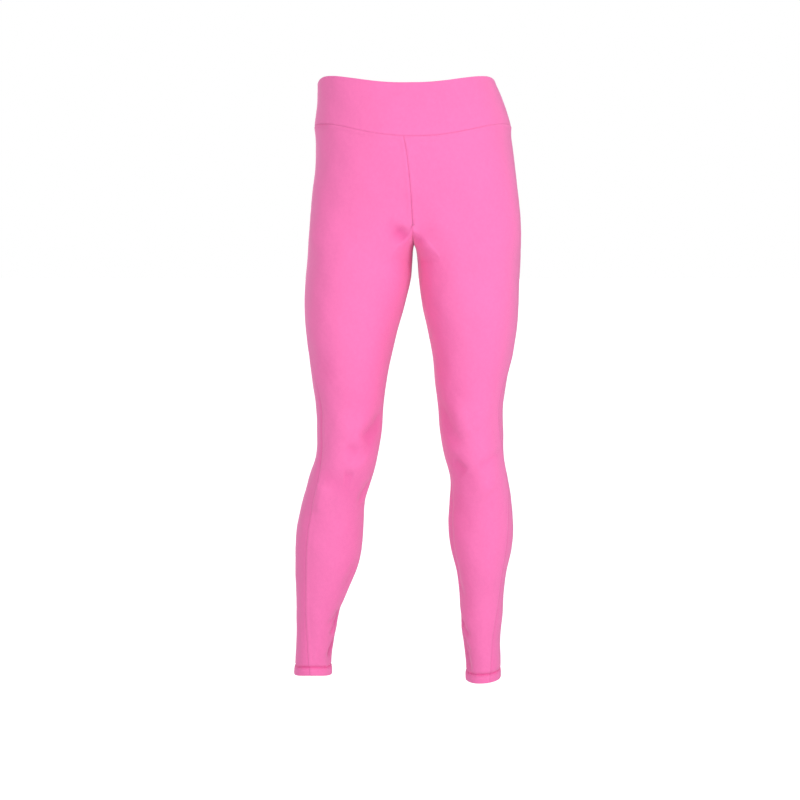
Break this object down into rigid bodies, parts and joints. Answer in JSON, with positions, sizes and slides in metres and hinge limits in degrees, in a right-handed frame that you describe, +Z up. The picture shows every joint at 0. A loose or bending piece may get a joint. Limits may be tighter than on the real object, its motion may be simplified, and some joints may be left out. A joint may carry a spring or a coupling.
{
  "type": "leggings",
  "caption": "Full-length stretch leggings in the hollow form of being worn, with a wide contoured waistband, seamed front and back legs and turned-up hems.",
  "frame": {"origin": "centre of the waist opening, level with the highest points of the rim's front half", "axes": "+Z up along the body, +X towards the wearer's left, the front faces -Y"},
  "size_m": [0.3758, 0.2351, 0.995],
  "materials": {
    "knit": "matte"
  },
  "bodies": {
    "root": {"waistband_front": "knit", "waistband_back": "knit", "leg_front_right": "knit", "leg_back_right": "knit", "leg_front_left": "knit", "leg_back_left": "knit"}
  },
  "joints": []
}
